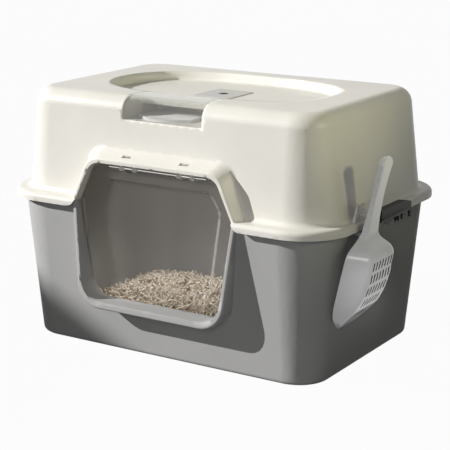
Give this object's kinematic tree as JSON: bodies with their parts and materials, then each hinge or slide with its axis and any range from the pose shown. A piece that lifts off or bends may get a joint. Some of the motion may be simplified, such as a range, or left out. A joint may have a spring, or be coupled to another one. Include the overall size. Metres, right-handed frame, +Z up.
{
  "type": "hooded cat litter box",
  "caption": "Hooded cat litter tray with a front see-through swing flap, side latches, a vented dish on top, a lidded pocket and a hanging slotted scoop.",
  "frame": {"origin": "on the floor, under the middle of the tray", "axes": "+X to the object's right along its longest side, +Y to the back, away from the entry, +Z up"},
  "size_m": [0.5935, 0.3936, 0.372],
  "materials": {
    "tray_plastic": "satin dark grey moulded plastic",
    "hood_plastic": "glossy cream moulded plastic",
    "smoky_flap": "smoky see-through plastic",
    "clear_lid": "clear plastic",
    "rod_steel": "drawn steel rod",
    "clip_plastic": "pale satin plastic",
    "latch_plastic": "satin dark grey plastic",
    "vent_plastic": "satin mid grey plastic",
    "filter_foam": "open black foam",
    "pad": "pale felt",
    "scoop_plastic": "satin light grey plastic",
    "litter": "loose compressed wood-like pellets"
  },
  "bodies": {
    "base": {"base_tray": "tray_plastic", "litter_bed": "litter"},
    "hood": {"hood": "hood_plastic", "hinge_clip_left": "clip_plastic", "hinge_clip_right": "clip_plastic", "carbon_filter": "filter_foam", "deodorant_pad": "pad", "scoop_hook": "hood_plastic"},
    "door": {"door_flap": "smoky_flap", "door_rod": "rod_steel"},
    "latch_left": {"latch_left": "latch_plastic", "latch_pin_left": "rod_steel"},
    "latch_right": {"latch_right": "latch_plastic", "latch_pin_right": "rod_steel"},
    "window": {"window_cover": "clear_lid"},
    "vent": {"vent_cover": "vent_plastic"},
    "scoop": {"scoop": "scoop_plastic"}
  },
  "joints": [
    {"name": "hood_lift", "type": "slide", "parent": "base", "child": "hood", "axis": [0, 0, 1], "range_m": [0, 0.3]},
    {"name": "door_swing", "type": "hinge", "parent": "hood", "child": "door", "pos_m": [0, -0.172, 0.2735], "axis": [1, 0, 0], "range_deg": [-30, 70]},
    {"name": "latch_right_swing", "type": "hinge", "parent": "hood", "child": "latch_right", "pos_m": [0.27, 0, 0.203], "axis": [0, 1, 0], "range_deg": [0, 80]},
    {"name": "latch_left_swing", "type": "hinge", "parent": "hood", "child": "latch_left", "pos_m": [-0.27, 0, 0.203], "axis": [0, -1, 0], "range_deg": [0, 80]},
    {"name": "window_lift", "type": "slide", "parent": "hood", "child": "window", "axis": [0, 0, 1], "range_m": [0, 0.05]},
    {"name": "vent_lift", "type": "slide", "parent": "hood", "child": "vent", "axis": [0, 0, 1], "range_m": [0, 0.04]},
    {"name": "scoop_lift", "type": "slide", "parent": "base", "child": "scoop", "axis": [0.2249, -0.0175, 0.9742], "range_m": [0, 0.105]}
  ]
}
